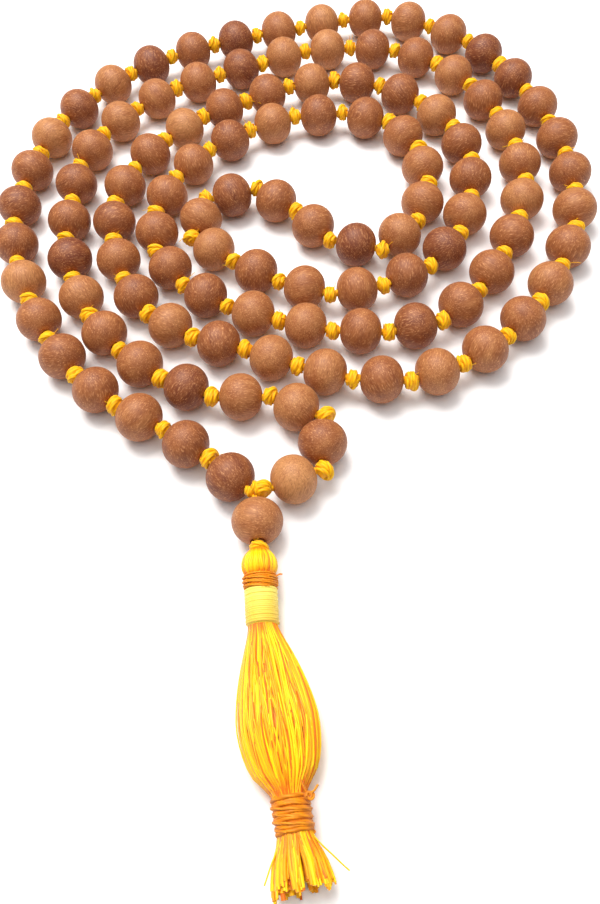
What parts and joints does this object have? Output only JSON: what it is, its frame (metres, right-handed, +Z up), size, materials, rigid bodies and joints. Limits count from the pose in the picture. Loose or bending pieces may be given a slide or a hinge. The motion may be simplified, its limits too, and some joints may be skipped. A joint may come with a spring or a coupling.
{
  "type": "mala prayer beads",
  "caption": "String of round wooden prayer beads knotted on a cord, coiled flat as a double spiral, closed by a guru bead and thread tassel that swings, lifts and bends.",
  "frame": {"origin": "on the surface the mala lies on, straight under the centre of the guru bead", "axes": "+Z up from the surface, +Y from the tassel through the guru bead towards the coil of beads, +X to the right seen from above with the tassel nearest"},
  "size_m": [0.1119, 0.1734, 0.008],
  "materials": {
    "beads": "sanded, unvarnished, faint sheen",
    "cord": "twisted cotton cord, matte",
    "head_threads": "folded embroidery thread, soft sheen",
    "wrap": "wound thread, soft sheen",
    "binding": "wound thread, soft sheen",
    "skirt": "silky embroidery threads, combed straight",
    "waist_tie": "wound thread, soft sheen"
  },
  "bodies": {
    "cord": {"knotted_cord": "cord", "guru_knot": "cord", "inner_beads_inward": "beads", "inner_beads_outward": "beads"},
    "guru_bead": {"guru_bead": "beads"},
    "neck": {"tassel_neck": "cord"},
    "head": {"tassel_head": "head_threads", "head_wrap": "wrap", "neck_binding": "binding"},
    "skirt": {"skirt": "skirt", "waist_tie": "waist_tie", "waist_knot": "waist_tie"},
    "bead_1": {"bead_1": "beads"},
    "bead_2": {"bead_2": "beads"},
    "bead_3": {"bead_3": "beads"},
    "bead_4": {"bead_4": "beads"},
    "bead_5": {"bead_5": "beads"},
    "bead_6": {"bead_6": "beads"},
    "bead_7": {"bead_7": "beads"},
    "bead_8": {"bead_8": "beads"},
    "bead_9": {"bead_9": "beads"},
    "bead_10": {"bead_10": "beads"},
    "bead_11": {"bead_11": "beads"},
    "bead_12": {"bead_12": "beads"},
    "bead_13": {"bead_13": "beads"},
    "bead_14": {"bead_14": "beads"},
    "bead_15": {"bead_15": "beads"},
    "bead_16": {"bead_16": "beads"},
    "bead_17": {"bead_17": "beads"},
    "bead_18": {"bead_18": "beads"},
    "bead_19": {"bead_19": "beads"},
    "bead_20": {"bead_20": "beads"},
    "bead_21": {"bead_21": "beads"},
    "bead_22": {"bead_22": "beads"},
    "bead_23": {"bead_23": "beads"},
    "bead_24": {"bead_24": "beads"},
    "bead_25": {"bead_25": "beads"},
    "bead_26": {"bead_26": "beads"},
    "bead_27": {"bead_27": "beads"},
    "bead_28": {"bead_28": "beads"},
    "bead_29": {"bead_29": "beads"},
    "bead_30": {"bead_30": "beads"},
    "bead_31": {"bead_31": "beads"},
    "bead_32": {"bead_32": "beads"},
    "bead_33": {"bead_33": "beads"},
    "bead_34": {"bead_34": "beads"},
    "bead_35": {"bead_35": "beads"},
    "bead_36": {"bead_36": "beads"},
    "bead_37": {"bead_37": "beads"},
    "bead_38": {"bead_38": "beads"},
    "bead_39": {"bead_39": "beads"},
    "bead_40": {"bead_40": "beads"},
    "bead_41": {"bead_41": "beads"},
    "bead_42": {"bead_42": "beads"},
    "bead_43": {"bead_43": "beads"},
    "bead_44": {"bead_44": "beads"},
    "bead_105": {"bead_105": "beads"},
    "bead_106": {"bead_106": "beads"},
    "bead_107": {"bead_107": "beads"},
    "bead_108": {"bead_108": "beads"}
  },
  "joints": [
    {"name": "guru_bead_spin", "type": "hinge", "parent": "cord", "child": "guru_bead", "pos_m": [0, 0, 0.004], "axis": [0, 1, 0], "continuous": true},
    {"name": "tassel_swing", "type": "hinge", "parent": "cord", "child": "neck", "pos_m": [0, -0.0036, 0.004], "axis": [0, 0, 1], "range_deg": [-30, 30]},
    {"name": "tassel_lift", "type": "hinge", "parent": "neck", "child": "head", "pos_m": [0, -0.0047, 0.0039], "axis": [-1, 0, 0], "range_deg": [0, 35]},
    {"name": "skirt_swing", "type": "hinge", "parent": "head", "child": "skirt", "pos_m": [0, -0.01629, 0.0027], "axis": [0, 0, 1], "range_deg": [-15, 15]},
    {"name": "bead_1_spin", "type": "hinge", "parent": "cord", "child": "bead_1", "pos_m": [-0.00387, 0.00795, 0.004], "axis": [-0.6877, 0.726, 0], "continuous": true},
    {"name": "bead_2_spin", "type": "hinge", "parent": "cord", "child": "bead_2", "pos_m": [-0.01076, 0.01446, 0.004], "axis": [-0.7646, 0.6445, 0], "continuous": true},
    {"name": "bead_3_spin", "type": "hinge", "parent": "cord", "child": "bead_3", "pos_m": [-0.01834, 0.02016, 0.004], "axis": [-0.8305, 0.5569, 0], "continuous": true},
    {"name": "bead_4_spin", "type": "hinge", "parent": "cord", "child": "bead_4", "pos_m": [-0.02566, 0.02615, 0.004], "axis": [-0.7104, 0.7038, 0], "continuous": true},
    {"name": "bead_5_spin", "type": "hinge", "parent": "cord", "child": "bead_5", "pos_m": [-0.03162, 0.03348, 0.004], "axis": [-0.5446, 0.8387, 0], "continuous": true},
    {"name": "bead_6_spin", "type": "hinge", "parent": "cord", "child": "bead_6", "pos_m": [-0.03618, 0.04178, 0.004], "axis": [-0.4154, 0.9096, 0], "continuous": true},
    {"name": "bead_7_spin", "type": "hinge", "parent": "cord", "child": "bead_7", "pos_m": [-0.03959, 0.05063, 0.004], "axis": [-0.3026, 0.9531, 0], "continuous": true},
    {"name": "bead_8_spin", "type": "hinge", "parent": "cord", "child": "bead_8", "pos_m": [-0.04169, 0.05986, 0.004], "axis": [-0.1398, 0.9902, 0], "continuous": true},
    {"name": "bead_9_spin", "type": "hinge", "parent": "cord", "child": "bead_9", "pos_m": [-0.04188, 0.06929, 0.004], "axis": [0.0997, 0.995, 0], "continuous": true},
    {"name": "bead_10_spin", "type": "hinge", "parent": "cord", "child": "bead_10", "pos_m": [-0.04025, 0.07862, 0.004], "axis": [0.2435, 0.9699, 0], "continuous": true},
    {"name": "bead_11_spin", "type": "hinge", "parent": "cord", "child": "bead_11", "pos_m": [-0.03709, 0.08753, 0.004], "axis": [0.4217, 0.9068, 0], "continuous": true},
    {"name": "bead_12_spin", "type": "hinge", "parent": "cord", "child": "bead_12", "pos_m": [-0.03209, 0.09552, 0.004], "axis": [0.6323, 0.7747, 0], "continuous": true},
    {"name": "bead_13_spin", "type": "hinge", "parent": "cord", "child": "bead_13", "pos_m": [-0.02548, 0.10229, 0.004], "axis": [0.7594, 0.6506, 0], "continuous": true},
    {"name": "bead_14_spin", "type": "hinge", "parent": "cord", "child": "bead_14", "pos_m": [-0.01764, 0.10754, 0.004], "axis": [0.8904, 0.4551, 0], "continuous": true},
    {"name": "bead_15_spin", "type": "hinge", "parent": "cord", "child": "bead_15", "pos_m": [-0.00889, 0.11115, 0.004], "axis": [0.9527, 0.304, 0], "continuous": true},
    {"name": "bead_16_spin", "type": "hinge", "parent": "cord", "child": "bead_16", "pos_m": [0.00023, 0.1138, 0.004], "axis": [0.9673, 0.2538, 0], "continuous": true},
    {"name": "bead_17_spin", "type": "hinge", "parent": "cord", "child": "bead_17", "pos_m": [0.0095, 0.11586, 0.004], "axis": [0.9834, 0.1817, 0], "continuous": true},
    {"name": "bead_18_spin", "type": "hinge", "parent": "cord", "child": "bead_18", "pos_m": [0.01886, 0.11744, 0.004], "axis": [0.9888, 0.1495, 0], "continuous": true},
    {"name": "bead_19_spin", "type": "hinge", "parent": "cord", "child": "bead_19", "pos_m": [0.02831, 0.11816, 0.004], "axis": [1, 0.0034, 0], "continuous": true},
    {"name": "bead_20_spin", "type": "hinge", "parent": "cord", "child": "bead_20", "pos_m": [0.03739, 0.11623, 0.004], "axis": [0.9115, -0.4112, 0], "continuous": true},
    {"name": "bead_21_spin", "type": "hinge", "parent": "cord", "child": "bead_21", "pos_m": [0.04532, 0.11117, 0.004], "axis": [0.7577, -0.6526, 0], "continuous": true},
    {"name": "bead_22_spin", "type": "hinge", "parent": "cord", "child": "bead_22", "pos_m": [0.0516, 0.10415, 0.004], "axis": [0.5649, -0.8252, 0], "continuous": true},
    {"name": "bead_23_spin", "type": "hinge", "parent": "cord", "child": "bead_23", "pos_m": [0.05622, 0.0959, 0.004], "axis": [0.4078, -0.9131, 0], "continuous": true},
    {"name": "bead_24_spin", "type": "hinge", "parent": "cord", "child": "bead_24", "pos_m": [0.05951, 0.08701, 0.004], "axis": [0.2844, -0.9587, 0], "continuous": true},
    {"name": "bead_25_spin", "type": "hinge", "parent": "cord", "child": "bead_25", "pos_m": [0.0615, 0.07775, 0.004], "axis": [0.1347, -0.9909, 0], "continuous": true},
    {"name": "bead_26_spin", "type": "hinge", "parent": "cord", "child": "bead_26", "pos_m": [0.06204, 0.06829, 0.004], "axis": [-0.0196, -0.9998, 0], "continuous": true},
    {"name": "bead_27_spin", "type": "hinge", "parent": "cord", "child": "bead_27", "pos_m": [0.0609, 0.05891, 0.004], "axis": [-0.2216, -0.9751, 0], "continuous": true},
    {"name": "bead_28_spin", "type": "hinge", "parent": "cord", "child": "bead_28", "pos_m": [0.05778, 0.05001, 0.004], "axis": [-0.4351, -0.9004, 0], "continuous": true},
    {"name": "bead_29_spin", "type": "hinge", "parent": "cord", "child": "bead_29", "pos_m": [0.05297, 0.04185, 0.004], "axis": [-0.5777, -0.8162, 0], "continuous": true},
    {"name": "bead_30_spin", "type": "hinge", "parent": "cord", "child": "bead_30", "pos_m": [0.04682, 0.03466, 0.004], "axis": [-0.7157, -0.6984, 0], "continuous": true},
    {"name": "bead_31_spin", "type": "hinge", "parent": "cord", "child": "bead_31", "pos_m": [0.03939, 0.02883, 0.004], "axis": [-0.849, -0.5285, 0], "continuous": true},
    {"name": "bead_32_spin", "type": "hinge", "parent": "cord", "child": "bead_32", "pos_m": [0.03081, 0.02497, 0.004], "axis": [-0.9586, -0.2849, 0], "continuous": true},
    {"name": "bead_33_spin", "type": "hinge", "parent": "cord", "child": "bead_33", "pos_m": [0.02154, 0.0242, 0.004], "axis": [-0.9923, 0.1236, 0], "continuous": true},
    {"name": "bead_34_spin", "type": "hinge", "parent": "cord", "child": "bead_34", "pos_m": [0.01239, 0.02648, 0.004], "axis": [-0.9344, 0.3563, 0], "continuous": true},
    {"name": "bead_35_spin", "type": "hinge", "parent": "cord", "child": "bead_35", "pos_m": [0.00363, 0.03014, 0.004], "axis": [-0.9105, 0.4136, 0], "continuous": true},
    {"name": "bead_36_spin", "type": "hinge", "parent": "cord", "child": "bead_36", "pos_m": [-0.00511, 0.03384, 0.004], "axis": [-0.9304, 0.3666, 0], "continuous": true},
    {"name": "bead_37_spin", "type": "hinge", "parent": "cord", "child": "bead_37", "pos_m": [-0.01333, 0.03845, 0.004], "axis": [-0.7982, 0.6024, 0], "continuous": true},
    {"name": "bead_38_spin", "type": "hinge", "parent": "cord", "child": "bead_38", "pos_m": [-0.0194, 0.04547, 0.004], "axis": [-0.4805, 0.877, 0], "continuous": true},
    {"name": "bead_39_spin", "type": "hinge", "parent": "cord", "child": "bead_39", "pos_m": [-0.02278, 0.05426, 0.004], "axis": [-0.231, 0.9729, 0], "continuous": true},
    {"name": "bead_40_spin", "type": "hinge", "parent": "cord", "child": "bead_40", "pos_m": [-0.02385, 0.06363, 0.004], "axis": [0.0045, 1, 0], "continuous": true},
    {"name": "bead_41_spin", "type": "hinge", "parent": "cord", "child": "bead_41", "pos_m": [-0.02212, 0.07281, 0.004], "axis": [0.3596, 0.9331, 0], "continuous": true},
    {"name": "bead_42_spin", "type": "hinge", "parent": "cord", "child": "bead_42", "pos_m": [-0.01744, 0.08094, 0.004], "axis": [0.627, 0.779, 0], "continuous": true},
    {"name": "bead_43_spin", "type": "hinge", "parent": "cord", "child": "bead_43", "pos_m": [-0.01073, 0.08759, 0.004], "axis": [0.7848, 0.6197, 0], "continuous": true},
    {"name": "bead_44_spin", "type": "hinge", "parent": "cord", "child": "bead_44", "pos_m": [-0.00268, 0.0925, 0.004], "axis": [0.9098, 0.4151, 0], "continuous": true},
    {"name": "bead_105_spin", "type": "hinge", "parent": "cord", "child": "bead_105", "pos_m": [-0.00173, 0.0227, 0.004], "axis": [0.995, -0.1004, 0], "continuous": true},
    {"name": "bead_106_spin", "type": "hinge", "parent": "cord", "child": "bead_106", "pos_m": [0.00718, 0.01997, 0.004], "axis": [0.8806, -0.4739, 0], "continuous": true},
    {"name": "bead_107_spin", "type": "hinge", "parent": "cord", "child": "bead_107", "pos_m": [0.0109, 0.01299, 0.004], "axis": [-0.0965, -0.9953, 0], "continuous": true},
    {"name": "bead_108_spin", "type": "hinge", "parent": "cord", "child": "bead_108", "pos_m": [0.00592, 0.00673, 0.004], "axis": [-0.947, -0.3213, 0], "continuous": true}
  ]
}
